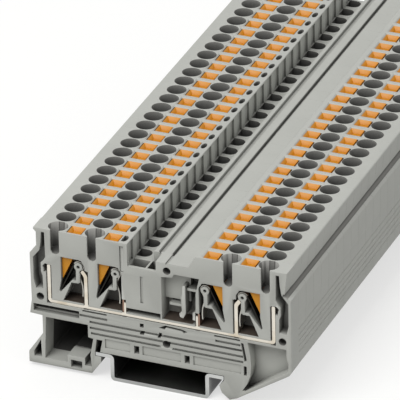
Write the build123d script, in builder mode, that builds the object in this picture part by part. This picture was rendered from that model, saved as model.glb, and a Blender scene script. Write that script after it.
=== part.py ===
from build123d import *
import os
from copy import copy

os.makedirs("parts", exist_ok=True)

# A row of push-in terminal blocks, latched side by side on a hat rail.
# Millimetres. X runs along each block, from its spring foot (left) to its fixed
# foot (right), Y runs along the rail, away from the open face of the first block,
# and Z is up. Z = 0 is the underside of the rail, X = 0 the middle of the rail.

# The row
pitch = 5.2             # width of one block
block_count = 30
moving_blocks = 7       # blocks at the open end whose buttons are separate nodes
single_blocks = 3       # blocks that are nodes of their own; the rest are joined in stacks
stack = 9               # blocks in one stack
back_wall = 0.45        # closed wall at the back of each block
peg_length = 1.0        # pegs that hold the next block
peg_clearance = 0.1     # between a peg and its hole, on the radius

# The rail
rail_width = 35.0
rail_channel = 27.0
rail_height = 7.5
rail_sheet = 1.0
rail_bend = 0.8         # inner radius of the bends
rail_clearance = 0.15   # between the rail and the block that grips it

# The outside of a block, measured from the middle of its contacts
contact_middle = 0.65   # the contacts' middle lies this far from the rail's
block_top = 40.6
left_reach = 36.65      # the spring foot's outer edge
right_reach = 35.35     # the flat of the right side
lip_reach = 34.4        # the two top edges
neck_reach = 33.7       # the undercut below the top edges
foot_bottom = 1.0
shoulder = 33.0         # height of the shoulders on both sides
wall = 0.9              # the feet's thin walls

# The top of a block
outer_slot = 28.6       # wire holes, to the contacts' middle
inner_slot = 18.5
hole_width = 4.6        # across the flats of the funnel
hole_sides = 8
hole_floor = 33.8
button_offset = 5.05    # from a wire hole to its release button
button_width = 4.1
button_length = 4.1
button_sink = 0.1       # it ends this far below the block's top
button_clearance = 0.1
button_travel = 1.0     # the pressed head stays clear of the spring's loop
recess_depth = 0.8      # the screwdriver's seat in a button
recess_width = 2.3
test_hole = -10.45      # where the test probe goes in
test_width = 0.9
test_length = 3.0
test_depth = 8.0
bridge_left = -8.8      # the channel of the bridging shafts
bridge_right = -3.4
bridge_rim = 34.3       # top of the thin walls between the shafts
bridge_wall = 0.8
bridge_floor = 27.0
marker_floor = 37.2     # the flat seat of the marker strip
marker_left = 2.4
marker_right = 7.8
marker_rise = 2.0       # run of the slope beside it
groove_width = 0.8
ridge_width = 1.2
groove_depth = 1.1

# The clamps, measured from their wire slot towards the middle
slot_width = 2.45
chamber_top = 33.4
chamber_floor = 20.8
loop_middle = (6.3, 31.3)   # the spindle that carries the spring's loop
spindle_radius = 1.1
spindle_hole = 0.45
spring_sheet = 0.3
loop_radius = 1.45      # middle of the spring's sheet
button_side = 1.6       # the wedge's straight side
wedge_width = 3.1
wedge_tip = 26.7
head_step = 1.1         # the head ends this far above the chamber
leg_sheet = 0.7         # thickness of the current bar's legs
leg_place = 1.95        # the leg's middle, outside the wire slot
leg_top = 30.3
inner_leg = 9.9         # the two short legs beside the middle
inner_sheet = 0.5
inner_top = 24.0
bar_floor = 19.4
bar_sheet = 0.95
bar_face = 0.3
bar_width = 3.5
bar_clearance = 0.06

row_length = pitch * block_count
cell_middle = pitch / 2
front = -(row_length + peg_length) / 2
open_depth = pitch - back_wall
rail_left = -rail_width / 2 - contact_middle
rail_right = rail_width / 2 - contact_middle
under_rail = rail_height - rail_sheet - rail_clearance
over_rail = rail_height + rail_clearance
clamps = [(-outer_slot, 1), (-inner_slot, 1), (inner_slot, -1), (outer_slot, -1)]
pins = [(-33.0, 20.8), (33.0, 20.8), (1.95, 35.0), (1.45, 13.7)]
pin_radius = 0.95


def face_plane(depth, middle=contact_middle):
    """A plane parallel to the open face, this far behind it, seen from the front."""
    return Plane(origin=(middle, front + depth, 0), x_dir=(1, 0, 0), z_dir=(0, -1, 0))


def prism(points, start, length, mode=Mode.ADD):
    """An outline in X and Z, carried straight back along the rail."""
    with BuildSketch(face_plane(start)) as outline:
        with BuildLine():
            Polyline(*points, close=True)
        make_face()
    extrude(outline.sketch, amount=-length, mode=mode)


def cut(points, depth=open_depth, start=0.0):
    prism(points, start, depth, Mode.SUBTRACT)


def rectangle(left, right, low, high):
    return [(left, low), (right, low), (right, high), (left, high)]


def block_outline():
    """The moulding's outline, clockwise from its top left lip."""
    hook = rail_right + rail_clearance
    latch = rail_left - rail_clearance
    ridge = bridge_right + ridge_width
    return [
        (-lip_reach, block_top), (bridge_left, block_top), (bridge_left, bridge_rim),
        (bridge_right, bridge_rim), (bridge_right, marker_floor), (ridge, marker_floor),
        (ridge + groove_width / 2, marker_floor - groove_width),
        (ridge + groove_width, marker_floor), (marker_left - groove_width, marker_floor),
        (marker_left - groove_width, marker_floor - groove_depth),
        (marker_left, marker_floor - groove_depth), (marker_left, marker_floor),
        (marker_right, marker_floor), (marker_right + marker_rise, block_top),
        (lip_reach, block_top), (neck_reach, shoulder + 1.2), (right_reach, shoulder),
        (right_reach, 12.3), (34.7, 11.2),
        (20.4, 1.8), (18.4, foot_bottom), (16.3, 2.7), (15.6, 4.6),
        (hook, under_rail), (hook, over_rail),
        (-16.9, over_rail), (-16.2, 11.2), (-17.8, 11.2), (latch, over_rail),
        (latch, under_rail), (-16.7, under_rail), (-16.7, 4.7), (-19.3, foot_bottom),
        (-left_reach, foot_bottom), (-left_reach, 4.1),
        (-32.6, 10.1), (-32.6, 15.3), (-36.0, 15.5), (-35.4, 19.5), (-35.6, shoulder),
        (-neck_reach, shoulder + 2.4), (-neck_reach, block_top - 1.2),
        (-lip_reach, block_top - 0.5),
    ]


def foot_tunnel():
    """The hollow of the spring foot, open from end to end of the row."""
    return [
        (-32.6 + wall, 15.3 - wall * 0.3), (-20.1, 15.0), (-20.1, 11.4),
        (-18.7, 11.2), (-19.6, 6.4), (-19.3, 2.9),
        (-32.2, foot_bottom + 1.9),
    ]


def top_plane(depth, height=block_top):
    """A level plane, this far behind the open face."""
    return Plane(origin=(contact_middle, front + depth, height))


def top_openings(wedges=True):
    """Wire holes, the test hole, the bridging shaft and the button shafts of a block.

    The shafts have room for the buttons' wedges, or for their heads alone."""
    with BuildSketch(top_plane(cell_middle)) as holes:
        with Locations(*[(slot, 0) for slot, side in clamps]):
            RegularPolygon(hole_width / 2, hole_sides, major_radius=False,
                           rotation=180 / hole_sides)
    extrude(holes.sketch, amount=-(block_top - hole_floor), mode=Mode.SUBTRACT)
    with BuildSketch(top_plane(cell_middle)) as probe:
        with Locations((test_hole, 0)):
            Rectangle(test_width, test_length)
    extrude(probe.sketch, amount=-test_depth, mode=Mode.SUBTRACT)
    with BuildSketch(top_plane(pitch / 2, bridge_rim)) as shaft:
        with Locations(((bridge_left + bridge_right - bridge_wall) / 2, 0)):
            Rectangle(bridge_right - bridge_left - bridge_wall, pitch - 2 * bridge_wall)
    extrude(shaft.sketch, amount=-(bridge_rim - bridge_floor), mode=Mode.SUBTRACT)
    room = button_clearance
    for slot, side in clamps:
        left, right = button_offset - button_width / 2, button_offset + button_width / 2
        heads = mirrored(rectangle(left - room, right + room, chamber_top + head_step,
                                   block_top), slot, side)
        cut(button_outline(slot, side, room, button_travel) if wedges else heads,
            button_length + 2 * room, cell_middle - button_length / 2 - room)


def mirrored(points, slot, side):
    """Points measured from a wire slot, turned to the clamp's own side."""
    return [(slot + side * x, z) for x, z in points]


def button_outline(slot, side, gap=0.0, travel=0.0):
    """A release button: the head in its shaft, and the wedge that opens the spring.

    With a gap and a travel it is the hollow that the button slides in."""
    left = button_offset - button_width / 2
    right = button_offset + button_width / 2
    head = block_top if gap else block_top - button_sink
    step = chamber_top + head_step
    return mirrored([
        (left - gap, head), (right + gap, head), (right + gap, step - travel - gap),
        (button_side + wedge_width + gap, chamber_top - travel - gap),
        (button_side - gap, wedge_tip - travel - 2 * gap),
        (button_side - gap, step - 1.0 + gap), (left - gap, step + gap),
    ], slot, side)


def clamp_chamber(slot, side):
    """The open chamber of one clamp, with its spindle, rib and wire slot."""
    loop = (slot + side * loop_middle[0], loop_middle[1])
    arch = loop_radius + spring_sheet / 2 + 0.15
    cut(mirrored([
        (button_side - 0.1, chamber_top), (button_side - 0.1, wedge_tip),
        (0.95, 23.6), (1.3, 23.2), (4.6, 27.3), (8.0, 27.3), (8.0, 31.3),
        (loop_middle[0] + 0.9, chamber_top - 0.2), (loop_middle[0], chamber_top),
    ], slot, side))
    cut(mirrored([
        (4.3, 26.5), (8.0, 26.5), (8.0, chamber_floor), (1.9, chamber_floor),
    ], slot, side))
    cut(mirrored(rectangle(5.3, 8.0, 26.4, 27.4), slot, side))
    with BuildSketch(face_plane(0)) as outline:
        with Locations(loop):
            Circle(arch)
    extrude(outline.sketch, amount=-open_depth, mode=Mode.SUBTRACT)
    with BuildSketch(face_plane(0)) as outline:
        with Locations(loop):
            Circle(spindle_radius)
        with Locations((loop[0] - side * 0.15, (loop[1] + 26.8) / 2)):
            Rectangle(1.0, loop[1] - 26.8)
        with Locations((slot + side * 5.4, 26.9)):
            Rectangle(1.8, 0.7)
        with Locations(loop):
            Circle(spindle_hole, mode=Mode.SUBTRACT)
    extrude(outline.sketch, amount=-open_depth)
    cut(rectangle(slot - slot_width / 2, slot + slot_width / 2,
                  hole_floor + slot_width / 2, block_top), cell_middle)
    with BuildSketch(face_plane(0)) as outline:
        with Locations((slot, hole_floor + slot_width / 2)):
            Circle(slot_width / 2)
    extrude(outline.sketch, amount=-cell_middle, mode=Mode.SUBTRACT)


def bar_pocket():
    """The channel of the current bar and of its six legs."""
    gap = bar_clearance
    depth = bar_face + bar_width + gap
    cut(rectangle(-outer_slot - leg_place - leg_sheet / 2 - gap,
                  outer_slot + leg_place + leg_sheet / 2 + gap,
                  bar_floor - gap, bar_floor + bar_sheet + gap), depth)
    for slot, side in clamps:
        leg = slot - side * leg_place
        cut(rectangle(leg - leg_sheet / 2 - gap, leg + leg_sheet / 2 + gap,
                      bar_floor, leg_top + 0.25), depth)
        cut(mirrored(rectangle(-leg_place + leg_sheet / 2, -1.15,
                               chamber_floor, leg_top + 0.1), slot, side), depth)
    for side in (1, -1):
        cut(rectangle(*sorted((side * (inner_leg - gap), side * (inner_leg + inner_sheet + gap))),
                      bar_floor, inner_top + gap), depth)


def side_pockets():
    """Recesses between the outer walls and the outer clamps, left and right."""
    for side in (1, -1):
        cut([(-side * x, z) for x, z in [
            (32.3, 39.6), (31.4, 39.6), (31.3, 32.5), (31.9, 31.4), (32.6, 30.7),
            (32.6, 28.1), (32.2, 27.0), (32.1, 23.2), (34.1, 23.0), (34.7, 25.5),
            (34.7, 31.9), (32.9, 34.2), (32.5, 36.5)]], 3.2)
        cut([(-side * x, z) for x, z in rectangle(31.1, 31.9, 28.2, 29.3)], 3.0)


def middle_details():
    """The plain bridge block, the open cavity with its two ribs, and the pin bosses."""
    cut(rectangle(-9.5, 0.0, 20.7, 22.2))
    cut(rectangle(-5.4, -4.6, 24.3, 32.0), 0.35)
    cut(rectangle(test_hole - 0.4, test_hole + 0.6, 32.3, 39.7), 0.4)
    cut(rectangle(bridge_right - 0.3, -1.0, bridge_rim, marker_floor), open_depth)
    cut(rectangle(bridge_right - 0.3, -1.1, bridge_floor, bridge_rim),
        open_depth - bridge_wall, bridge_wall)
    cut([(0.35, chamber_floor), (10.6, chamber_floor), (9.6, 25.0), (9.7, 30.0),
         (10.7, 34.4), (3.9, 34.4), (3.3, 33.4), (0.35, 33.0)])
    prism([(0.35, 33.4), (0.35, 26.0), (7.4, 26.0), (7.4, 34.4)], 2.6, open_depth - 2.6)
    prism(rectangle(2.0, 5.5, 24.7, 25.4), 1.4, open_depth - 1.4)
    prism([(6.1, 31.5), (5.9, 28.6), (5.5, 28.2), (5.8, 24.0), (5.1, 23.3),
           (5.2, 22.4), (6.1, 22.1), (6.8, 23.6), (6.8, 31.5)], 0.2, open_depth - 0.2)
    prism(rectangle(7.0, 9.6, 29.9, 30.6), 1.0, open_depth - 1.0)
    prism([(8.7, 22.1), (9.6, 22.1), (9.7, 24.8), (8.7, 24.2)], 0.2, open_depth - 0.2)
    with BuildSketch(face_plane(0)) as outline:
        with Locations(pins[2], pins[3]):
            Circle(pin_radius + 0.85)
    extrude(outline.sketch, amount=-open_depth)


def lower_details():
    """Grooves, windows and slots of the face between the current bar and the rail."""
    for height, left, right in ((17.5, -22.3, -14.7), (17.5, 14.8, 21.6),
                                (16.0, -19.6, 22.0), (14.3, -19.6, 22.3),
                                (12.75, -19.3, 22.3)):
        cut(rectangle(left, right, height - 0.28, height + 0.28), 0.35)
    for left, right in ((-15.5, -8.6), (-5.2, 5.3), (8.7, 21.6)):
        cut(rectangle(left, right, 9.2, 11.8), 0.35)
    for left in (-7.5, 6.3):
        cut(rectangle(left, left + 1.4, 9.2, 11.5), 3.0)
    for left, right, low, high in ((-21.5, -14.8, 18.6, 19.1), (14.5, 21.5, 18.6, 19.1),
                                   (-5.6, -4.8, 17.4, 18.2), (-5.6, -4.6, 15.2, 16.2)):
        cut(rectangle(left, right, low, high), 2.5)
    cut([(-1.0, 15.1), (-0.2, 15.1), (0.3, 16.7), (-0.5, 16.7)], 2.5)
    cut([(-0.6, 18.1), (0.9, 17.8), (1.4, 18.5), (5.7, 18.3), (6.2, 17.8), (7.3, 18.4),
         (5.6, 18.9), (1.2, 19.1)], 2.5)
    cut(rectangle(-34.8, -22.4, 16.9, 18.2), 3.0)
    cut([(21.7, 18.2), (22.4, 18.2), (23.3, 13.2), (22.6, 13.0)], 3.0)
    cut(rectangle(22.4, 23.2, 8.9, 11.6), 3.0)
    cut([(23.5, 18.7), (24.2, 15.0), (24.4, 12.0), (24.1, 9.0), (23.2, 6.4), (21.9, 4.4),
         (22.6, 4.3), (34.4, 12.2), (34.5, 14.5), (34.0, 16.5), (34.0, 18.7)], 3.4)
    cut([(-33.2, 8.2), (-33.1, 3.0), (-35.2, 2.9), (-35.3, 4.3)])
    prism(rectangle(-26.0, -21.2, foot_bottom + 1.7, 5.0), 0.0, open_depth)
    cut(rectangle(-25.1, -22.0, 1.7, 3.8), 2.2)


# The first block: its face is open and shows the clamps.
with BuildPart() as housing_01:
    prism(block_outline(), 0, pitch)
    cut(foot_tunnel(), pitch)
    top_openings()
    for slot, side in clamps:
        clamp_chamber(slot, side)
    side_pockets()
    bar_pocket()
    middle_details()
    lower_details()
    with BuildSketch(face_plane(0)):
        with Locations(*pins):
            Circle(pin_radius)
    extrude(amount=-(peg_length + 0.3), mode=Mode.SUBTRACT)
housing_01.part.label = "housing_01"
export_step(housing_01.part, "parts/housing_01.step")

# The other blocks stand face to back, so their open faces are covered.
with BuildPart() as closed_block:
    prism(block_outline(), 0, pitch)
    cut(foot_tunnel(), pitch)
    top_openings()
with BuildPart() as plain_block:
    prism(block_outline(), 0, pitch)
    cut(foot_tunnel(), pitch)
    top_openings(wedges=False)


def placed(piece, block_number):
    """A copy of a piece of the first block, moved to the place of another block."""
    return copy(piece).moved(Location((0, (block_number - 1) * pitch, 0)))


def covered_block(block_number):
    """A block behind the first one: with room for moving buttons, or for their heads."""
    return placed((closed_block if block_number <= moving_blocks else plain_block).part,
                  block_number)


for number in range(2, single_blocks + 1):
    name = f"housing_{number:02d}"
    block = covered_block(number)
    block.label = name
    export_step(block, f"parts/{name}.step")

# The rest, joined face to face. The last one has the pegs for a next block.
for first in range(single_blocks + 1, block_count + 1, stack):
    last = min(first + stack - 1, block_count)
    name = f"housings_{first:02d}_{last:02d}"
    with BuildPart() as joined_blocks:
        for number in range(first, last + 1):
            add(covered_block(number))
        if last == block_count:
            with BuildSketch(face_plane(row_length)):
                with Locations(*pins):
                    Circle(pin_radius - peg_clearance)
            extrude(amount=-peg_length)
    joined_blocks.part.label = name
    export_step(joined_blocks.part, f"parts/{name}.step")

# The current bar: one strip under all four clamps, with legs bent up from it.
with BuildPart() as current_bar:
    reach = outer_slot + leg_place + leg_sheet / 2
    prism(rectangle(-reach, reach, bar_floor, bar_floor + bar_sheet), bar_face, bar_width)
    for slot, side in clamps:
        leg = slot - side * leg_place
        prism([(leg - side * leg_sheet / 2, bar_floor), (leg + side * leg_sheet / 2, bar_floor),
               (leg + side * leg_sheet / 2, leg_top - 1.2),
               (leg, leg_top), (leg - side * leg_sheet / 2, leg_top)],
              bar_face, bar_width)
    for side in (1, -1):
        prism(rectangle(*sorted((side * inner_leg, side * (inner_leg + inner_sheet))),
                        bar_floor + bar_sheet / 2, inner_top), bar_face, bar_width)
current_bar.part.label = "current_bar"
export_step(current_bar.part, "parts/current_bar.step")


def spring_path(slot, side):
    """The sheet's middle: the clamping leg, the loop over the spindle, the bowed leg."""
    loop = Vector(slot + side * loop_middle[0], loop_middle[1])
    slant = Vector(-side * wedge_width, wedge_tip - chamber_top + 0.2).normalized()
    outward = Vector(slant.Y * side, -slant.X * side)
    touch = loop + outward * loop_radius
    over = loop + Vector(0, loop_radius)
    leave = loop + Vector(side * loop_radius, 0)
    clamping = Line(touch + slant * 8.4, touch)
    arc = ThreePointArc(touch, over, leave)
    bow = Polyline(leave, leave + Vector(-side * 0.75, -2.9), leave + Vector(-side * 0.35, -8.4))
    return clamping, arc, bow


# The clamp springs: one bent strip for each wire.
for number, (slot, side) in enumerate(clamps, 1):
    with BuildPart() as spring:
        with BuildSketch(face_plane(bar_face + 0.2)):
            with BuildLine() as path:
                spring_path(slot, side)
            trace(path.line, spring_sheet)
        extrude(amount=-(bar_width - 0.4))
    spring.part.label = f"clamp_spring_{number}"
    export_step(spring.part, f"parts/clamp_spring_{number}.step")


def driver_recess(slot, side):
    """The screwdriver's seat in the button's head."""
    with BuildSketch(top_plane(cell_middle, block_top - button_sink)) as seat:
        with Locations((slot + side * button_offset, 0)):
            Rectangle(recess_width, recess_width)
    extrude(seat.sketch, amount=-recess_depth, mode=Mode.SUBTRACT)


# The release buttons of the blocks at the open end, each a piece of its own.
for number, (slot, side) in enumerate(clamps, 1):
    with BuildPart() as release_button:
        prism(button_outline(slot, side), cell_middle - button_length / 2, button_length)
        driver_recess(slot, side)
    for block_number in range(1, moving_blocks + 1):
        name = f"button_{block_number:02d}_{number}"
        button = placed(release_button.part, block_number)
        button.label = name
        export_step(button, f"parts/{name}.step")

# The rest of the buttons, one node for each of the four lines of them.
for number, (slot, side) in enumerate(clamps, 1):
    with BuildPart() as button_head:
        with BuildSketch(top_plane(cell_middle, chamber_top + head_step)):
            with Locations((slot + side * button_offset, 0)):
                Rectangle(button_width, button_length)
        extrude(amount=block_top - button_sink - chamber_top - head_step)
    line = Compound(
        label=f"button_line_{number}",
        children=[placed(button_head.part.solid(), block_number)
                  for block_number in range(moving_blocks + 1, block_count + 1)])
    export_step(line, f"parts/button_line_{number}.step")

# The rail: folded sheet with two flanges, flush with the row.
with BuildPart() as rail:
    half, web = rail_width / 2, rail_channel / 2
    with BuildSketch(face_plane(0, middle=0)) as section:
        with BuildLine() as fold:
            Polyline((-half, rail_height - rail_sheet / 2),
                     (-web + rail_sheet / 2, rail_height - rail_sheet / 2),
                     (-web + rail_sheet / 2, rail_sheet / 2), (web - rail_sheet / 2, rail_sheet / 2),
                     (web - rail_sheet / 2, rail_height - rail_sheet / 2),
                     (half, rail_height - rail_sheet / 2))
            fillet(fold.vertices().sort_by(Axis.X)[1:-1], rail_bend)
        trace(fold.line, rail_sheet)
    extrude(amount=-row_length)
rail.part.label = "rail"
export_step(rail.part, "parts/rail.step")
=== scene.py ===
# %% [markdown]
# # A row of push-in terminal blocks on its rail
# The real object is a stack of thin moulded blocks on a folded steel rail. Each block
# holds four clamps: a wire goes into a round funnel, and an orange button beside it opens
# the clamp. The CAD frame has the sizes and the moving buttons. This lesson dresses it:
# rounder funnels, pockets, seams, bent metal and the finish of each surface.

# %% Load the frame
import math
import bmesh
import bpy
from mathutils import Matrix, Vector


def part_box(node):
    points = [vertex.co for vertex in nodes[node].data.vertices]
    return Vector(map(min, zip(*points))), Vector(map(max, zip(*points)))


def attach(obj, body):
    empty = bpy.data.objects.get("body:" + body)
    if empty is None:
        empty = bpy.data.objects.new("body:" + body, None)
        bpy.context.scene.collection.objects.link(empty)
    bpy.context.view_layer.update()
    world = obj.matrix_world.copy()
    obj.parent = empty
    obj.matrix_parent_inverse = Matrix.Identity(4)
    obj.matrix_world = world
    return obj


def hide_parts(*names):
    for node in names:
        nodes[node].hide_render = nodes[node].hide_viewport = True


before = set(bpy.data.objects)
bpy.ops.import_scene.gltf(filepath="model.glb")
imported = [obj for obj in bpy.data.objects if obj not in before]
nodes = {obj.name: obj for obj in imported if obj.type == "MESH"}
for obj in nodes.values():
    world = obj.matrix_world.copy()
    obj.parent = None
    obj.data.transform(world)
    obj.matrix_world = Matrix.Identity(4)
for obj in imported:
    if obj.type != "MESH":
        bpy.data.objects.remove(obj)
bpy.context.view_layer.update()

# %% [markdown]
# ## Sizes
# The row's own sizes come from the frame, so the dressed pieces stay on the CAD ones.
# Shapes are drawn in millimetres, as on a drawing of the block: x from the middle of its
# contacts, depth behind the open face, and height above the underside of the rail.

# %% Sizes of the row
mm = 0.001
contact_middle = 0.65
rail_low, rail_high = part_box("rail")
block_low, block_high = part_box("housing_02")
front = rail_low.y / mm
row_length = (rail_high.y - rail_low.y) / mm
pitch = (block_high.y - block_low.y) / mm
block_count = round(row_length / pitch)
block_top = block_high.z / mm
foot_bottom = block_low.z / mm
clamps = [(-28.6, 1), (-18.5, 1), (18.5, -1), (28.6, -1)]  # wire hole, side of its button
button_offset = 5.05    # from a wire hole to the middle of its button
button_width, button_length = 4.1, 4.1
button_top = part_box("button_01_1")[1].z / mm
print(f"{block_count} blocks of {pitch:.1f} mm, {block_top:.1f} mm high")


def point(x, depth, height):
    """A place on the drawing, in metres in the row's frame."""
    return Vector(((x + contact_middle) * mm, (front + depth) * mm, height * mm))


# %% [markdown]
# ## Finishes
# Each material starts from the common material and from how its surface was made.
# One function turns the hex colour of a paint chart into the linear values that shaders
# use, and one adds a node with its settings and links. Patterns read Object coordinates,
# which are metres here, so a pattern's scale is one over the size of its grain. Shade in
# corners is painted into the colours: it could be painted on each piece, but an ambient
# occlusion node finds all the corners.

# %% Helpers for the finishes
shut_in, open_sky = 0.1, 0.72  # shares of open sky where the shade is full, and gone


def linear(hex_colour):
    """An sRGB hex colour as linear red, green, blue and alpha."""
    parts = [int(hex_colour[i:i + 2], 16) / 255 for i in (1, 3, 5)]
    return [p / 12.92 if p <= 0.04045 else ((p + 0.055) / 1.055) ** 2.4 for p in parts] + [1]


def add_node(tree, kind, inputs=(), **settings):
    """A node of this kind. An input is a value, or the socket that feeds it."""
    node = tree.nodes.new("ShaderNode" + kind)
    for name, value in settings.items():
        setattr(node, name, value)
    for name, value in dict(inputs).items():
        if isinstance(value, bpy.types.NodeSocket):
            tree.links.new(value, node.inputs[name])
        else:
            node.inputs[name].default_value = value
    return node


def blend(tree, amount, first, second):
    """The socket of a mix of two colours, where each is a value or a socket."""
    node = add_node(tree, "Mix", {"Factor": amount}, data_type="RGBA")
    for place, colour in ((6, first), (7, second)):
        if isinstance(colour, bpy.types.NodeSocket):
            tree.links.new(colour, node.inputs[place])
        else:
            node.inputs[place].default_value = colour
    return node.outputs[2]


def with_corners(tree, colour, shade, corner):
    """Turns a colour to its shade where surfaces within so many millimetres shut light out."""
    hollow = add_node(tree, "AmbientOcclusion", {"Distance": corner * mm}, samples=8)
    open_air = add_node(tree, "MapRange", {"Value": hollow.outputs["AO"], "From Min": shut_in,
                                           "From Max": open_sky})
    return blend(tree, open_air.outputs["Result"], linear(shade), colour)


def new_finish(name):
    """An empty material with its node tree, its shader and its object coordinates."""
    finish = bpy.data.materials.new(name)
    finish.use_nodes = True
    tree = finish.node_tree
    tree.nodes.clear()
    coords = add_node(tree, "TexCoord").outputs["Object"]
    shader = add_node(tree, "BsdfPrincipled")
    add_node(tree, "OutputMaterial", {"Surface": shader.outputs["BSDF"]})
    return finish, tree, coords, shader


print("black to", linear("#000000"), "and white to", linear("#FFFFFF"))

# %% [markdown]
# ### Moulded plastic
# The blocks are polyamide, injection moulded in a spark-eroded steel mould. The mould's
# fine grit gives the plastic a silky, matt surface, and flow in the mould leaves faint
# clouds of a lighter and a darker tone. The grit is about 0.05 mm, too fine to show, so
# it is drawn 0.35 mm coarse and very shallow. The hollows are left by steel cores with a
# rougher grit, so they are duller. They get finishes of their own: darker greys, which are
# painted shade, with the darkest in the long tunnel of the foot.

# %% Moulded plastic
def moulded(name, colour, shade, roughness, grain=0.35, cloud=9.0, corner=5.0):
    """Moulded plastic, with its shade in corners up to so many millimetres wide."""
    finish, tree, coords, shader = new_finish(name)
    clouds = add_node(tree, "TexNoise", {"Vector": coords, "Scale": 1 / (cloud * mm),
                                         "Detail": 3.0, "Roughness": 0.55})
    light = [min(1, c * 1.07) for c in linear(colour)[:3]] + [1]
    dark = [c * 0.93 for c in linear(colour)[:3]] + [1]
    tone = blend(tree, clouds.outputs["Fac"], dark, light)
    tree.links.new(with_corners(tree, tone, shade, corner), shader.inputs["Base Color"])
    grit = add_node(tree, "TexNoise", {"Vector": coords, "Scale": 1 / (grain * mm),
                                       "Detail": 2.0})
    gloss = add_node(tree, "MapRange", {"Value": grit.outputs["Fac"],
                                        "To Min": roughness - 0.06,
                                        "To Max": roughness + 0.06})
    tree.links.new(gloss.outputs["Result"], shader.inputs["Roughness"])
    relief = add_node(tree, "Bump", {"Height": grit.outputs["Fac"], "Strength": 0.12,
                                     "Distance": 0.03 * mm})
    tree.links.new(relief.outputs["Normal"], shader.inputs["Normal"])
    shader.inputs["IOR"].default_value = 1.53
    return finish


grey_housing = moulded("polyamide_grey_moulded", "#B2B3AD", "#403F3C", 0.55)
# painted shade: darker copies of the grey for the hollows, the darkest for the foot's tunnel
painted_hollow_shade = moulded("polyamide_grey_painted_shade", "#9C9B96", "#454543", 0.7, corner=7.0)
painted_deep_shade = moulded("polyamide_grey_painted_deep_shade", "#5A5956", "#141413", 0.8, corner=14.0)
# the deep orange shade is painted shade, which darkens the screwdriver seat
orange_button = moulded("polyamide_orange_moulded", "#CC8808", "#AC5C06", 0.42, corner=2.5)
print("plastics:", [m.name for m in (grey_housing, painted_hollow_shade, painted_deep_shade, orange_button)])

# %% [markdown]
# ### Metals
# Metal strip shows the marks of the rolls that made it: fine lines along its length. The
# current bar is copper with a matt coat of tin, and where that coat is missing the copper
# shows bright on a cut edge. The floors of the chambers get a dark brown copper, which is
# painted shade with a copper tint. The springs are bright spring steel, and the clamping
# leg gets a near-black copy of it, which is painted shade. The rail is mild steel, plated
# with zinc: cool grey, with soft streaks. Every metal gets painted shade in its corners,
# which turns the rail's channel under the blocks near black. The lines are about 0.02 mm
# apart on the real strip and drawn 0.3 mm wide, to show at all.

# %% Rolled metal
def rolled(name, colour, worn, shade, roughness, along="Y", line=0.3, patch=6.0, corner=3.0):
    """Rolled strip with lines along an axis, patches of a worn colour and painted shade in its
    corners.
    """
    finish, tree, coords, shader = new_finish(name)
    stretch = {"X": (0.04, 1, 1), "Y": (1, 0.04, 1), "Z": (1, 1, 0.04)}[along]
    drawn = add_node(tree, "Mapping", {"Vector": coords, "Scale": stretch})
    lines = add_node(tree, "TexNoise", {"Vector": drawn.outputs["Vector"],
                                        "Scale": 1 / (line * mm), "Detail": 2.0})
    patches = add_node(tree, "TexNoise", {"Vector": coords, "Scale": 1 / (patch * mm),
                                          "Detail": 4.0})
    spread = add_node(tree, "MapRange", {"Value": patches.outputs["Fac"], "From Min": 0.5,
                                         "From Max": 0.75})
    tone = blend(tree, spread.outputs["Result"], linear(colour), linear(worn))
    tree.links.new(with_corners(tree, tone, shade, corner), shader.inputs["Base Color"])
    gloss = add_node(tree, "MapRange", {"Value": lines.outputs["Fac"],
                                        "To Min": roughness - 0.08,
                                        "To Max": roughness + 0.08})
    tree.links.new(gloss.outputs["Result"], shader.inputs["Roughness"])
    relief = add_node(tree, "Bump", {"Height": lines.outputs["Fac"], "Strength": 0.1,
                                     "Distance": 0.02 * mm})
    tree.links.new(relief.outputs["Normal"], shader.inputs["Normal"])
    shader.inputs["Metallic"].default_value = 1.0
    return finish


tinned_bar = rolled("copper_tin_plated", "#E2DCD0", "#CFC3AE", "#7F7160", 0.42, along="X",
                    corner=0.8)
raw_copper = rolled("copper_cut_edge", "#A08576", "#7A6050", "#3A2E27", 0.5, along="Z")
# painted shade with a copper tint, for the floors of the chambers
painted_shade_copper = rolled("copper_tinted_painted_shade", "#83776D", "#65594F", "#2B2724", 0.6, along="X")
spring_steel = rolled("spring_steel_rolled", "#B4B2AB", "#8B8983", "#2B2926", 0.35, along="X",
                      corner=1.0)
# painted shade: a near-black copy of the spring steel for the clamping leg
painted_shade_spring_steel = rolled("spring_steel_painted_shade", "#33312D", "#24221F", "#0E0D0C", 0.6, along="X")
# its near-black shade, reaching 12 mm, is painted shade that blackens the channel under the
# blocks
zinc_rail = rolled("steel_zinc_plated", "#CBCCCA", "#B6B8B8", "#060606", 0.32, along="Y",
                   patch=14.0, corner=12.0)
print("metals:", [m.name for m in (tinned_bar, raw_copper, painted_shade_copper, spring_steel,
                                   painted_shade_spring_steel, zinc_rail)])

# %% [markdown]
# ## Drawing and carving
# A moulding is drawn as a flat outline and pulled straight back along the rail, as the
# block's side view is its drawing. Corners with a radius are rounded while the outline is
# still flat. Holes could be drawn as loops in each face, but here they are solid tools that
# a Boolean takes away: it carries the tool's own finish onto the walls that it leaves. The
# parts of one tool don't overlap, since the Boolean would turn their common room around.

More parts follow.
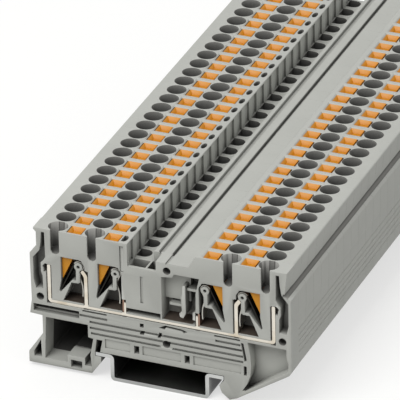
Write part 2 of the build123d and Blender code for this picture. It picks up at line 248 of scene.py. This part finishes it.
# %% Helpers for the shapes
def prism(bm, corners, near, far):
    """Pulls an outline of (x, height) or (x, height, radius) corners from near to far."""
    known = set(bm.faces)
    start = [(bm.verts.new(point(c[0], near, c[1])), c[2:]) for c in corners]
    bm.faces.new([vert for vert, radius in start])
    for vert, radius in start:
        if radius:
            bmesh.ops.bevel(bm, geom=[vert], offset=radius[0] * mm, offset_type="OFFSET",
                            affect="VERTICES", segments=4, profile=0.5, material=-1)
    flat = [face for face in bm.faces if face not in known]
    pulled = bmesh.ops.extrude_face_region(bm, geom=flat)["geom"]
    moved = [v for v in pulled if isinstance(v, bmesh.types.BMVert)]
    bmesh.ops.translate(bm, verts=moved, vec=(0, (far - near) * mm, 0))


def rectangle(left, right, low, high):
    """The corners of a rectangle, for a prism."""
    return [(left, low), (right, low), (right, high), (left, high)]


def drum(bm, x, depth, low, high, bottom, top, sides=32, flat=1.0):
    """An upright drum or cone, flattened along the rail by the factor flat."""
    middle = point(x, depth, (low + high) / 2)
    place = Matrix.Translation(middle) @ Matrix.Diagonal((1, flat, 1, 1))
    bmesh.ops.create_cone(bm, cap_ends=True, segments=sides, radius1=bottom * mm,
                          radius2=top * mm, depth=(high - low) * mm, matrix=place)


def peg(bm, x, height, near, far, radius):
    """A round peg that lies along the rail."""
    place = Matrix.Translation(point(x, (near + far) / 2, height)) @ Matrix.Rotation(
        math.pi / 2, 4, "X")
    bmesh.ops.create_cone(bm, cap_ends=True, segments=24, radius1=radius * mm,
                          radius2=radius * mm, depth=(far - near) * mm, matrix=place)


def slab(bm, left, right, near, far, low, high):
    """A box between two depths."""
    middle = (point(left, near, low) + point(right, far, high)) / 2
    size = point(right, far, high) - point(left, near, low)
    place = Matrix.Translation(middle) @ Matrix.Diagonal((*size, 1))
    return bmesh.ops.create_cube(bm, size=1.0, matrix=place)["verts"]


def as_object(name, bm, *finishes):
    """The mesh as an object at the origin, with its place in its points."""
    bmesh.ops.recalc_face_normals(bm, faces=bm.faces[:])
    mesh = bpy.data.meshes.new(name)
    bm.to_mesh(mesh)
    bm.free()
    for finish in finishes:
        mesh.materials.append(finish)
    thing = bpy.data.objects.new(name, mesh)
    bpy.context.scene.collection.objects.link(thing)
    return thing


def carve(block, tool, operation="DIFFERENCE"):
    """Cuts a tool out of a block, or joins it on, for good, and removes the tool."""
    knife = block.modifiers.new("carve", "BOOLEAN")
    knife.object, knife.operation, knife.solver = tool, operation, "EXACT"
    knife.material_mode = "TRANSFER"
    shape = block.evaluated_get(bpy.context.evaluated_depsgraph_get())
    carved = bpy.data.meshes.new_from_object(shape)
    block.modifiers.clear()
    block.data = carved
    bpy.data.objects.remove(tool)


def soften(bm, edges, size, segments=2):
    """Rounds edges by a size in millimetres, as a mould does."""
    bmesh.ops.bevel(bm, geom=edges, offset=size * mm, offset_type="OFFSET", affect="EDGES",
                    segments=segments, profile=0.5, material=-1, clamp_overlap=True)


def smooth(thing, angle=30):
    """Smooth shading, with a crease where faces meet at more than the angle."""
    for face in thing.data.polygons:
        face.use_smooth = True
    thing.data.set_sharp_from_angle(angle=math.radians(angle))


print("a corner of the drawing:", [round(c, 4) for c in point(0, 0, block_top)])

# %% [markdown]
# ## Openings in the top
# Every block has the same top: four funnels for the wires, four shafts for the buttons, a
# narrow hole for a test probe, and a D-shaped shaft for a bridge between blocks. One set of
# cores serves all blocks. A funnel is a slow cone, so that its core comes out of the mould,
# and it is flattened a little along the rail, as the block is hardly wider than the hole.
# A shaft is a box whose top face is extruded twice, which gives its mouth a slope.

# %% Core of a button's shaft
head_width, head_length = button_width - 0.4, button_length - 0.6
play = 0.06       # round a button's head
wire_gap = 0.3    # between the head and the wire's side of its shaft
flare = 0.32      # of the slope round the mouth


def shaft_core(bm, slot, side, low):
    """A button's shaft, with a slope round its mouth that leads a blade in."""
    middle = slot + side * button_offset
    left, right = sorted((middle - side * (head_width / 2 + wire_gap),
                          middle + side * (head_width / 2 + play)))
    corners = slab(bm, left, right, (pitch - head_length) / 2 - play,
                   (pitch + head_length) / 2 + play, low, block_top - flare)
    lid = max((f for v in corners for f in v.link_faces),
              key=lambda f: f.calc_center_median().z)
    for widen, rise in ((flare, flare), (0, 0.5)):
        lid = bmesh.ops.extrude_discrete_faces(bm, faces=[lid])["faces"][0]
        width, length = (max(v.co[i] for v in lid.verts) - min(v.co[i] for v in lid.verts)
                         for i in (0, 1))
        bmesh.ops.translate(bm, verts=lid.verts[:], vec=(0, 0, rise * mm))
        bmesh.ops.scale(bm, verts=lid.verts[:], vec=(1 + 2 * widen * mm / width,
                                                     1 + 2 * widen * mm / length, 1),
                        space=Matrix.Translation(-lid.calc_center_median()))
        # the slope of the mouth is plain grey, and the walls below keep the painted shade of
        # the hollows
        for face in [f for edge in lid.edges for f in edge.link_faces]:
            face.material_index = 1


def button_cores(low):
    """The cores of the four shafts, placed in the first block."""
    bm = bmesh.new()
    for slot, side in clamps:
        shaft_core(bm, slot, side, low)
    return as_object("button_cores", bm, painted_hollow_shade, grey_housing)


print(f"a head of {head_width:.1f} by {head_length:.1f} mm in each shaft")

# %% Cores of the other openings
middle_depth = pitch / 2
funnel_floor, funnel_low, funnel_high, funnel_flat = 33.7, 2.5, 2.63, 0.93
probe_place, probe_radius, probe_flat, probe_floor = -10.2, 0.73, 1.95, 32.6
past = 1.0        # how far a core reaches out of the block


def top_cores(bm):
    """The cores of the funnels, the probe's hole, the undercut and the bridge's flute."""
    for slot, side in clamps:
        drum(bm, slot, middle_depth, funnel_floor, block_top + 0.3, funnel_low, funnel_high,
             flat=funnel_flat)
    drum(bm, probe_place, middle_depth, probe_floor, block_top + past, probe_radius,
         probe_radius, flat=probe_flat, sides=24)
    prism(bm, [(34.6, 34.7), (33.2, 34.5), (33.2, 33.8), (34.6, 33.3)], -past, pitch + past)
    known = set(bm.faces)
    slab(bm, -9.35, -8.0, middle_depth - 1.45, middle_depth + 1.45, 34.4, block_top - 0.4)
    # the funnels, probe hole, bridge shaft and undercut get painted shade, and the flute the
    # plain grey
    for face in bm.faces:
        face.material_index = 0 if face in known else 1


def bridge_core(bm):
    """The D-shaped shaft for a bridge, round on its right."""
    corners = slab(bm, -9.2, -5.3, middle_depth - 1.85, middle_depth + 1.85, 27.0, 34.38)
    right = max(v.co.x for v in corners)
    upright = [e for e in bm.edges if all(abs(end.co.x - right) < 1e-7 for end in e.verts)
               and abs(e.verts[0].co.z - e.verts[1].co.z) > mm]
    soften(bm, upright, 1.8, 8)


print(f"funnels of {2 * funnel_high:.2f} mm across, {block_top - funnel_floor:.1f} mm deep")

# %% [markdown]
# ## A closed block
# Behind the open first block, each block shows only its top, its two sides and the seam to
# the next one. The CAD block could be dressed as it is, but it has plain corners, so the
# moulding is drawn anew: its outline is pulled back by one pitch, and its two rims are
# rounded by a twentieth of a millimetre. The small V between two blocks is the seam line
# that the row shows. Shallow ribs run along both sides, where fingers grip the row.

# %% Outline of a block
def ribbed(side, heights, deep=0.2, wide=0.3):
    """Corners of shallow grooves down one side of the outline, from the top."""
    return [(side - shift * deep * (1 if side > 0 else -1), z + step * wide)
            for z in heights for step, shift in ((1, 0), (0.4, 1), (-0.4, 1), (-1, 0))]


def block_outline():
    """The moulding's outline, clockwise from its top left lip."""
    over_rail, under_rail = 7.65, 6.35
    return [
        (-34.4, block_top, 0.3), (-8.8, block_top, 0.2), (-8.8, 34.3), (-3.4, 34.3),
        (-3.4, 37.2, 0.15), (-2.3, 37.2, 0.1), (-2.2, 36.3), (-0.9, 36.3), (-0.8, 37.2, 0.1),
        (1.4, 37.2, 0.15), (1.4, 36.1), (2.4, 36.1), (2.4, 37.2, 0.1), (7.8, 37.2, 0.3),
        (9.8, block_top, 0.3), (34.4, block_top, 0.5), (33.7, 34.2, 0.8), (35.35, 33.0, 0.4),
        (35.35, 26.2, 0.3), (35.2, 25.8, 0.3),
        *ribbed(35.2, (22.0, 20.2, 18.6, 17.0, 15.3)),
        (35.2, 12.3, 0.3), (34.7, 11.2, 0.4),
        (20.4, 1.8, 0.8), (18.4, foot_bottom, 0.4), (16.3, 2.7, 0.4), (15.6, 4.6, 0.3),
        (17.0, under_rail), (17.0, over_rail), (-16.9, over_rail), (-16.2, 11.2, 0.4),
        (-17.8, 11.2, 0.4), (-18.3, over_rail), (-18.3, under_rail), (-16.7, under_rail, 0.4),
        (-16.7, 4.7, 0.5), (-19.3, foot_bottom, 0.5), (-36.65, foot_bottom, 0.3),
        (-36.65, 4.1, 1.0), (-32.6, 10.1, 1.0), (-32.6, 15.3, 0.2), (-36.0, 15.5, 0.5),
        (-35.4, 19.5, 0.3), *ribbed(-35.45, (22.0, 24.0, 26.0))[::-1],
        (-35.6, 33.0, 0.8), (-33.7, 35.4, 0.8), (-33.7, 39.4, 0.2), (-34.4, 40.1, 0.1),
    ]


foot_hollow = [(-31.7, 15.0, 0.3), (-20.1, 15.0, 0.4), (-20.1, 11.4), (-18.7, 11.2, 0.2),
               (-19.6, 6.4, 0.3), (-19.4, 2.9, 0.3), (-21.2, 2.9), (-21.2, 5.0, 0.2),
               (-26.0, 5.0, 0.2), (-26.0, 2.9), (-32.2, 2.9, 0.4)]
print("corners of the outline:", len(block_outline()))

# %% Closed block
seam, shaft_floor = 0.05, 34.5


def moulded_block(name):
    """One closed block in the place of the first one."""
    bm = bmesh.new()
    prism(bm, block_outline(), 0, pitch)
    rims = [e for e in bm.edges if abs(e.verts[0].co.y - e.verts[1].co.y) < 1e-7]
    soften(bm, rims, seam, 1)
    block = as_object(name, bm, grey_housing)
    # the cores leave painted shade on the walls that they cut
    bm = bmesh.new()
    bridge_core(bm)
    top_cores(bm)
    carve(block, as_object("cores", bm, painted_hollow_shade, grey_housing))
    # the foot's tunnel gets the darkest painted shade
    bm = bmesh.new()
    prism(bm, foot_hollow, -past, pitch + past)
    carve(block, as_object("foot_core", bm, painted_deep_shade))
    carve(block, button_cores(shaft_floor))
    return block


pattern_block = moulded_block("pattern_block")
print("closed block:", len(pattern_block.data.polygons), "faces")

# %% [markdown]
# ## The row of closed blocks
# The blocks are one moulding, so one mesh is copied to each place along the rail. An Array
# modifier would do it too, but each copy stands for its own CAD node, and the far blocks
# are joined in the CAD's stacks. So one function copies and joins from block to block.

# %% Copies along the rail
def row_of(name, source, first, last, node, body="block"):
    """Copies of a piece from one block to another, joined, where source is in the first."""
    bm = bmesh.new()
    for number in range(first, last + 1):
        before = len(bm.verts)
        bm.from_mesh(source.data)
        bm.verts.ensure_lookup_table()
        bmesh.ops.translate(bm, verts=bm.verts[before:],
                            vec=(0, (number - 1) * pitch * mm, 0))
    mesh = bpy.data.meshes.new(name)
    bm.to_mesh(mesh)
    bm.free()
    for finish in source.data.materials:
        mesh.materials.append(finish)
    piece = bpy.data.objects.new(name, mesh)
    bpy.context.scene.collection.objects.link(piece)
    smooth(piece)
    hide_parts(node)
    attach(piece, body)
    return piece


housings = []
for node in sorted(n for n in nodes if n.startswith("housing") and n != "housing_01"):
    numbers = [int(part) for part in node.split("_")[1:]]
    housings.append(row_of("moulded_" + node, pattern_block, numbers[0], numbers[-1],
                           node))
bpy.data.objects.remove(pattern_block)
print("pieces for the closed blocks:", len(housings))

# %% [markdown]
# ## The open block
# The first block shows its inside. Its pockets are in the CAD solid already, so a copy of
# that mesh is the start: doubles are merged and flat triangles joined. The front edges are
# softened a little, which gives each thin wall the light line that moulded edges have.

# %% Open block from the CAD solid
front_rounding = 0.2


def merged_copy(node):
    """A clean mesh of a CAD node: merged points, and flat faces in one piece."""
    bm = bmesh.new()
    bm.from_mesh(nodes[node].data)
    bmesh.ops.remove_doubles(bm, verts=bm.verts[:], dist=0.002 * mm)
    bmesh.ops.dissolve_limit(bm, angle_limit=math.radians(0.5), verts=bm.verts[:],
                             edges=bm.edges[:], delimit=set())
    return bm


bm = merged_copy("housing_01")
face_edges = [e for e in bm.edges
              if all(abs(v.co.y - front * mm) < 1e-6 for v in e.verts)
              and len(e.link_faces) == 2 and e.calc_face_angle(0) > math.radians(40)]
print("front edges:", len(face_edges))
soften(bm, face_edges, front_rounding, 2)
open_block = as_object("moulded_housing_01", bm, grey_housing)

# %% [markdown]
# ### Its top
# The CAD has eight-sided funnels and plain shafts. Collars of new plastic fill them first,
# so that the cores of the other blocks can cut them round here too. Then a partition
# closes the way from each shaft to its funnel, which the real moulding also has. It is
# dark with painted shade, like the walls that the cores cut.

# %% Collars, cores and partitions
skin = 0.25       # left of each wall beside a collar
shaft_collar, funnel_collar, collar_floor = 2.55, 2.35, 33.75
bm = bmesh.new()
for slot, side in clamps:
    middle = slot + side * button_offset
    slab(bm, middle - shaft_collar, middle + shaft_collar, skin, pitch - skin,
         block_top - 1.5, block_top)
    slab(bm, slot - funnel_collar, slot + funnel_collar, 0.6, pitch - skin,
         collar_floor, block_top)
carve(open_block, as_object("collars", bm, grey_housing), "UNION")
bm = bmesh.new()
top_cores(bm)
carve(open_block, as_object("cores", bm, painted_hollow_shade, grey_housing))
carve(open_block, button_cores(38.9))
bm = bmesh.new()
for slot, side in clamps:
    slab(bm, *sorted((slot + side * 1.8, slot + side * 2.75)), 0.7, 4.5, 33.65, 34.9)
carve(open_block, as_object("partitions", bm, painted_hollow_shade), "UNION")
bm = bmesh.new()
prism(bm, rectangle(-8.75, -4.3, 34.35, 37.0), -past, 0.9)
slab(bm, 8.85, 9.15, middle_depth - 0.9, middle_depth + 0.9, 39.0, block_top + past)
carve(open_block, as_object("notches", bm, grey_housing))
print("with its top:", len(open_block.data.polygons), "faces")

# %% [markdown]
# ### Pockets of the legs
# Each leg of the current bar stands in a pocket of its own, which follows the leg's bent
# end and shows as a dark line round it: the gap's own shade, deepened by painted shade on
# its walls. The gap in front of each spring is cleared in the same way.

# %% Pockets
leg_offset = 1.95     # from a wire hole to the leg beside it
pocket_floor, pocket_depth = 19.3, 4.1
bm = bmesh.new()
for slot, side in clamps:
    leg, away = slot - side * leg_offset, -side
    prism(bm, [(leg + away * x, z, *radius) for x, z, *radius in (
        (-0.65, pocket_floor), (0.65, pocket_floor), (0.65, 28.4), (1.7, 29.8, 0.4),
        (0.7, 30.9, 0.5), (-0.65, 29.3, 0.4))], -past, pocket_depth)
    prism(bm, [(slot + side * x, z) for x, z in ((4.75, 33.0), (2.0, 27.05), (2.5, 26.8),
                                                 (5.4, 32.7))], 0.2, pocket_depth)
for low, high in ((-10.6, -9.4), (9.4, 10.6)):
    prism(bm, rectangle(low, high, pocket_floor, 24.4), -past, pocket_depth)
carve(open_block, as_object("leg_pockets", bm, painted_hollow_shade))
print("pockets for", len(clamps) + 2, "legs")

# %% [markdown]
# ### Details of the open face
# Two blocks are pinned together: pegs on the back of one go into holes in the face of the
# next. The face also has long grooves, so that its thick walls cool evenly in the mould.
# They are cut a little deeper than in the CAD, and a Bevel modifier breaks every sharp edge
# that the Booleans have left.

# %% Holes in the face
peg_places = [(1.45, 13.7), (-33.0, 20.8), (33.0, 20.8), (1.95, 35.0)]
open_depth = pitch - 0.45
bm = bmesh.new()
peg(bm, *peg_places[0], 0.02, 1.0, 1.9)
carve(open_block, as_object("boss", bm, grey_housing), "UNION")
# the holes and the deep ends of the chambers get painted shade from the hollow finish
bm = bmesh.new()
for x, height in peg_places:
    peg(bm, x, height, -past, 2.2, 1.05)
for height in (17.8, 15.7):
    slab(bm, -5.75, -4.7, -past, 2.6, height - 0.55, height + 0.55)
# the chambers' deep ends are cut again, so that their walls get painted shade
for slot, side in clamps:
    prism(bm, [(slot + side * x, z) for x, z in ((4.35, 26.4), (7.95, 26.4), (7.95, 20.9),
                                                 (2.1, 20.9))], 3.0, open_depth + 0.06)
carve(open_block, as_object("holes", bm, painted_hollow_shade))
print("peg holes:", len(peg_places))

# %% Grooves in the face
groove_depth, groove_half = 0.5, 0.33
grooves = [(-19.6, 22.0, 16.0), (-19.6, 22.3, 14.3), (-19.3, -0.8, 12.75), (3.7, 22.3, 12.75),
           (-22.3, -14.7, 17.5), (14.8, 21.6, 17.5)]
bm = bmesh.new()
slab(bm, -35.0, -22.4, -past, 1.3, 16.4, 18.45)
for left, right, height in grooves:
    slab(bm, left, right, -past, groove_depth, height - groove_half, height + groove_half)
carve(open_block, as_object("face_grooves", bm, grey_housing))
edging = open_block.modifiers.new("moulded_edges", "BEVEL")
edging.width, edging.segments, edging.limit_method = 0.12 * mm, 1, "ANGLE"
edging.angle_limit, edging.harden_normals = math.radians(50), True
smooth(open_block)
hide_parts("housing_01")
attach(open_block, "block")
print("open block:", len(open_block.data.polygons), "faces")

# %% [markdown]
# ## Pegs of the last block
# The far end of the row is the closed back of a block, with the pegs that would go into the
# next one. They are drums, and the rim of each is rounded so that it finds its hole.

# %% Pegs
row_end, peg_length = pitch * block_count, 1.0
bm = bmesh.new()
for x, height in peg_places:
    peg(bm, x, height, row_end - 0.2, row_end + peg_length, 0.8)
peg_end = (front + row_end + peg_length) * mm
rims = [e for e in bm.edges if min(v.co.y for v in e.verts) > peg_end - 0.1 * mm]
soften(bm, rims, 0.2, 2)
pegs = as_object("moulded_pegs", bm, grey_housing)
smooth(pegs)
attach(pegs, "block")
print("pegs:", len(peg_places))

# %% [markdown]
# ## Release buttons
# A button is a square head with a seat for a screwdriver, on a wedge that pushes the
# spring aside. The outline is pulled back by the button's length. The seat is an inset of
# the top face, pushed down, and it narrows, as the mould's core does. The head's edges
# are rounded, because a thumb or a blade presses them. The wedge stays inside the CAD's,
# so that a pressed button clears the block and the spring.

# %% Shape of a button
wedge_top, wedge_tip = (4.7, 33.4), (1.6, 26.7)  # from the wire hole, and height
seat_rim, seat_depth, head_rounding = 0.8, 1.2, 0.16
seat_narrowing = (0.9, 0.95, 1)


def release_button(name, slot, side, with_wedge):
    """The button of one clamp in the first block, or its head alone."""
    left, right = button_offset - head_width / 2, button_offset + head_width / 2
    head, step = button_top, shaft_floor
    if with_wedge:
        drawing = [(left, head), (right, head), (right, step + 0.1), (7.1, step), wedge_top,
                   wedge_tip, (wedge_tip[0], wedge_top[1]), (2.7, 33.45), (left, step)]
    else:
        drawing = rectangle(left, right, step, head)
    bm = bmesh.new()
    prism(bm, [(slot + side * x, z) for x, z in drawing],
          (pitch - head_length) / 2, (pitch + head_length) / 2)
    bmesh.ops.recalc_face_normals(bm, faces=bm.faces[:])
    top = max(bm.faces, key=lambda f: f.calc_center_median().z)
    bmesh.ops.inset_individual(bm, faces=[top], thickness=seat_rim * mm)
    bmesh.ops.translate(bm, verts=top.verts[:], vec=(0, 0, -seat_depth * mm))
    middle = top.calc_center_median()
    bmesh.ops.scale(bm, vec=seat_narrowing, verts=top.verts[:],
                    space=Matrix.Translation(-middle))
    edges = [e for e in bm.edges if max(v.co.z for v in e.verts) > (head - 0.01) * mm]
    soften(bm, edges, head_rounding, 2)
    return as_object(name, bm, orange_button)


print(f"seat {seat_depth} mm deep in a head at {button_top:.1f} mm")

# %% Buttons
buttons = 0
for number, (slot, side) in enumerate(clamps, 1):
    whole = release_button("whole_button", slot, side, True)
    head = release_button("head_button", slot, side, False)
    for node in sorted(nodes):
        if not (node.startswith("button_") and node.endswith(f"_{number}")):
            continue
        if node.startswith("button_line"):
            low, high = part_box(node)
            first = round((low.y / mm - front) / pitch) + 1
            row_of("moulded_" + node, head, first, block_count, node)
        else:
            block_number = int(node.split("_")[1])
            row_of("moulded_" + node, whole, block_number, block_number, node, node)
        buttons += 1
    bpy.data.objects.remove(whole)
    bpy.data.objects.remove(head)
print("pieces for the buttons:", buttons)

# %% [markdown]
# ## Clamp springs
# Each spring is one strip of thin steel. It could be a curve with a depth, but a strip is
# closer to how it is bent: a line across it is pulled along the clamping leg, spun round the
# spindle, and pulled down the bowed leg in short steps. The ribbon gets its thickness last,
# so the sheet is equally thick round the loop. The clamping leg slides on the button's
# wedge. It gets a near-black copy of the steel, which is painted shade, and the rest is
# bright.

# %% Shape of a spring
loop_place = (6.3, 31.3)      # from the wire hole, and height
loop_radius, spring_sheet = 1.45, 0.3
clamping_length = 8.4
strip_near, strip_far = 0.5, 3.6
bowed_leg = [(-0.15, 0.4), (-0.4, 0.8), (-0.45, 1.2), (-0.05, 0.8), (0.3, 0.9), (0.35, 1.4),
             (0.1, 1.6), (-0.1, 1.5)]  # each step's shift to the side, and its drop


def clamp_spring(name, slot, side):
    """A bent strip: the clamping leg, the loop over the spindle and the bowed leg."""
    loop = point(slot + side * loop_place[0], 0, loop_place[1])
    slant = Vector((side * (wedge_tip[0] - wedge_top[0]), 0,
                    wedge_tip[1] - wedge_top[1] + 0.2)).normalized()
    outward = Vector((slant.z * side, 0, -slant.x * side))
    length = clamping_length * mm
    start = loop + outward * loop_radius * mm + slant * length
    bm = bmesh.new()
    ends = [bm.verts.new(start + Vector((0, depth * mm, 0)))
            for depth in (strip_near, strip_far)]
    edge = bm.edges.new(ends)

    def pull(edge, step):
        made = bmesh.ops.extrude_edge_only(bm, edges=[edge])["geom"]
        bmesh.ops.translate(bm, verts=[g for g in made if isinstance(g, bmesh.types.BMVert)],
                            vec=step)
        return [g for g in made if isinstance(g, bmesh.types.BMEdge)][0]

    edge = pull(edge, -slant * length)
    sweep = math.atan2(outward.z, outward.x * side)
    turned = bmesh.ops.spin(bm, geom=[edge], cent=loop, axis=(0, 1, 0), dvec=(0, 0, 0),
                            angle=side * (sweep + (2 * math.pi if sweep < 0 else 0)), steps=16,
                            use_merge=False, use_duplicate=False)
    edge = [g for g in turned["geom_last"] if isinstance(g, bmesh.types.BMEdge)][0]
    for bend, drop in bowed_leg:
        edge = pull(edge, Vector((side * bend, 0, -drop)) * mm)
    bmesh.ops.solidify(bm, geom=bm.faces[:], thickness=side * spring_sheet * mm)
    # the clamping leg gets the near-black steel, which is painted shade
    for face in bm.faces:
        place = face.calc_center_median() - loop
        clamping = place.dot(slant) > 0.6 * mm and place.dot(outward) > 0
        face.material_index = 0 if clamping else 1
    spring = as_object(name, bm, painted_shade_spring_steel, spring_steel)
    smooth(spring, 40)
    return spring


print("bowed leg:", round(sum(drop for bend, drop in bowed_leg), 1), "mm long")

# %% Springs
for number, (slot, side) in enumerate(clamps, 1):
    spring = clamp_spring(f"bent_clamp_spring_{number}", slot, side)
    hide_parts(f"clamp_spring_{number}")
    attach(spring, "block")
print("springs:", len(clamps))

# %% [markdown]
# ## Current bar
# The bar is stamped from copper sheet and folded: a strip along the block, with a leg bent
# up at each clamp. An inner leg's end is bent over towards its spring. The strip and the two
# outer legs are one outline, pulled back by the bar's width, and the other legs are joined
# on by Booleans, so that the bar stays one piece.

# %% Bar
bar_near, bar_far = 0.3, 3.8
sheet = 0.9
bar_bottom, bar_top, leg_top, rooted = 19.4, 20.4, 30.3, 19.9
outer = clamps[3][0] + leg_offset + sheet / 2
inner = outer - sheet


def hooked_leg(slot, side):
    """Corners of an inner leg, whose end is bent over towards its spring."""
    leg, away = slot - side * leg_offset, -side
    return [(leg + away * x, z, *radius) for x, z, *radius in (
        (-sheet / 2, rooted), (sheet / 2, rooted), (sheet / 2, 28.5, 0.5), (1.4, 29.8, 0.25),
        (0.7, 30.5, 0.25), (-sheet / 2, 29.0, 0.5))]


bm = bmesh.new()
strip = [(outer, leg_top, 0.3), (outer, bar_bottom, 1.1), (21.4, bar_bottom), (21.0, 19.55),
         (-21.0, 19.55), (-21.4, bar_bottom), (-outer, bar_bottom, 1.1),
         (-outer, leg_top, 0.3), (-inner, leg_top, 0.3), (-inner, bar_top - 0.05, 0.4),
         (-21.4, bar_top - 0.05), (-21.0, bar_top + 0.1), (21.0, bar_top + 0.1),
         (21.4, bar_top - 0.05), (inner, bar_top - 0.05, 0.4), (inner, leg_top, 0.3)]
prism(bm, strip, bar_near, bar_far)
bar = as_object("stamped_current_bar", bm, tinned_bar)
for slot, side in clamps[1:3]:
    bm = bmesh.new()
    prism(bm, hooked_leg(slot, side), bar_near, bar_far)
    carve(bar, as_object("hooked_leg", bm, tinned_bar), "UNION")
for side in (1, -1):
    bm = bmesh.new()
    prism(bm, [(side * x, z) for x, z in ((9.55, rooted), (10.05, rooted), (10.05, 23.2),
                                          (9.8, 23.6), (9.55, 23.2))], bar_near, bar_far)
    carve(bar, as_object("short_leg", bm, tinned_bar), "UNION")
bevel = bar.modifiers.new("rounded_edges", "BEVEL")
bevel.width, bevel.segments, bevel.limit_method = 0.08 * mm, 2, "ANGLE"
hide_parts("current_bar")
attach(bar, "block")
print("bar from", bar_near, "to", bar_far, "mm deep")

# %% [markdown]
# ## Bare copper and painted shade on the floors
# Beside each short leg stands a strip of bare copper, and thin dark brown sheets lie on the
# floors of the chambers; they are painted shade with a copper tint. Both are thin pieces of
# their own, against the legs and on the moulding, since more finishes on the bar itself
# would need its faces cut.

# %% Copper strips and floors
copper_strip = [(10.07, 20.6), (10.5, 20.6), (10.5, 23.9), (10.3, 24.2), (10.07, 24.2)]
floor_low, floor_high = 20.81, 20.87
bm = bmesh.new()
for side in (1, -1):
    prism(bm, [(side * x, z) for x, z in copper_strip], bar_near + 0.1, bar_far - 0.1)
short_legs = as_object("copper_short_legs", bm, raw_copper)
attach(short_legs, "block")

bm = bmesh.new()
# thin sheets on the chamber floors, which carry painted shade in a copper tint
floor_spans = [sorted((slot + side * 2.1, slot + side * 7.9)) for slot, side in clamps]
for left, right in [*floor_spans, (0.6, 8.5)]:
    slab(bm, left, right, 0.35, open_depth - 0.1, floor_low, floor_high)
painted_shade_floors = as_object("copper_painted_shade_floors", bm, painted_shade_copper)
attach(painted_shade_floors, "block")
print("copper floors:", len(floor_spans) + 1)

# %% [markdown]
# ## Rail
# The rail is steel sheet, rolled into a hat. The CAD rail has the right folds and edges, so
# nothing is modelled again: it stays and gets its finish of zinc.

# %% Rail
rail = nodes["rail"]
rail.data.materials.clear()
# the zinc finish carries painted shade, which turns the channel under the blocks near black
rail.data.materials.append(zinc_rail)
print("rail:", [round(s / mm, 1) for s in rail_high - rail_low])

# %% [markdown]
# ## Studio
# A plain pale floor and a soft box above the open face, left of the camera, with a weak
# light from the right. Floor and world could be lit until they are white, but that would
# wash the object out. So they are white for the camera and for reflections alone.

# %% Floor
scene = bpy.context.scene
scene.view_settings.view_transform = "Standard"
floor_glow, sky_strength = 0.62, 0.6


def seen_or_mirrored(tree):
    """The socket that is 1 for the camera's rays and for reflections, and 0 for the rest."""
    rays = add_node(tree, "LightPath").outputs
    return add_node(tree, "Math", {0: rays["Is Camera Ray"], 1: rays["Is Glossy Ray"]},
                    operation="MAXIMUM").outputs["Value"]


bm = bmesh.new()
bmesh.ops.create_grid(bm, x_segments=1, y_segments=1, size=3.0)
floor_finish, tree, coords, shader = new_finish("floor_paper_white")
shader.inputs["Base Color"].default_value = linear("#9E9E9C")
shader.inputs["Roughness"].default_value = 0.9
glow = add_node(tree, "Emission", {"Color": (1, 1, 1, 1), "Strength": floor_glow})
paper = add_node(tree, "BsdfDiffuse", {"Color": linear("#A8A8A6")})
lit = add_node(tree, "AddShader", {0: glow.outputs["Emission"], 1: paper.outputs["BSDF"]})
both = add_node(tree, "MixShader", {0: seen_or_mirrored(tree), 1: shader.outputs["BSDF"],
                                    2: lit.outputs["Shader"]})
tree.links.new(both.outputs["Shader"], tree.nodes["Material Output"].inputs["Surface"])
floor = as_object("floor", bm, floor_finish)
print("floor:", [round(side, 1) for side in floor.dimensions[:2]], "m")

# %% World and lights
studio = bpy.data.worlds.new("studio")
studio.use_nodes = True
scene.world = studio
tree = studio.node_tree
tree.nodes.clear()
power = add_node(tree, "MapRange", {"Value": seen_or_mirrored(tree), "To Min": sky_strength,
                                    "To Max": 1.0})
sky = add_node(tree, "Background", {"Color": (1, 1, 1, 1),
                                    "Strength": power.outputs["Result"]})
add_node(tree, "OutputWorld", {"Surface": sky.outputs["Background"]})


def soft_light(name, place, size, watts):
    """A square soft box that faces the middle of the row."""
    lamp = bpy.data.lights.new(name, "AREA")
    lamp.energy, lamp.size = watts, size
    light = bpy.data.objects.new(name, lamp)
    light.location = place
    aim = Vector((0, 0, 0.03)) - Vector(place)
    light.rotation_euler = aim.to_track_quat("-Z", "Y").to_euler()
    scene.collection.objects.link(light)


soft_light("key_light", (-0.25, -0.85, 1.25), 0.8, 12.6)
soft_light("side_light", (1.2, -0.3, 0.6), 0.8, 0.5)
print("lights:", [(lamp.name, round(lamp.energy, 1)) for lamp in bpy.data.lights])

# %% [markdown]
# ## Camera
# The photograph is taken from far off with a long lens: the row hardly narrows. The camera
# stands to the right of the open face, looks down by 29 degrees and is tilted by one. Its
# turn, rise and tilt give the three directions of its matrix.

# %% Camera
turn, rise, tilt = (math.radians(a) for a in (22.919, 28.970, -1.202))
back = Vector((math.sin(turn) * math.cos(rise), -math.cos(turn) * math.cos(rise),
               math.sin(rise)))
level = Vector((math.cos(turn), math.sin(turn), 0))
upward = back.cross(level)
right = level * math.cos(tilt) + upward * math.sin(tilt)
up = upward * math.cos(tilt) - level * math.sin(tilt)
camera = bpy.data.objects.new("camera", bpy.data.cameras.new("camera"))
camera.data.lens, camera.data.sensor_width = 601.46, 36
camera.data.clip_end = 10
camera.matrix_world = Matrix.Translation(point(576.9, -1337.4, 861.1)) @ \
    Matrix((right, up, back)).transposed().to_4x4()
scene.collection.objects.link(camera)
scene.camera = camera
print("camera at", [round(c, 3) for c in camera.matrix_world.translation])
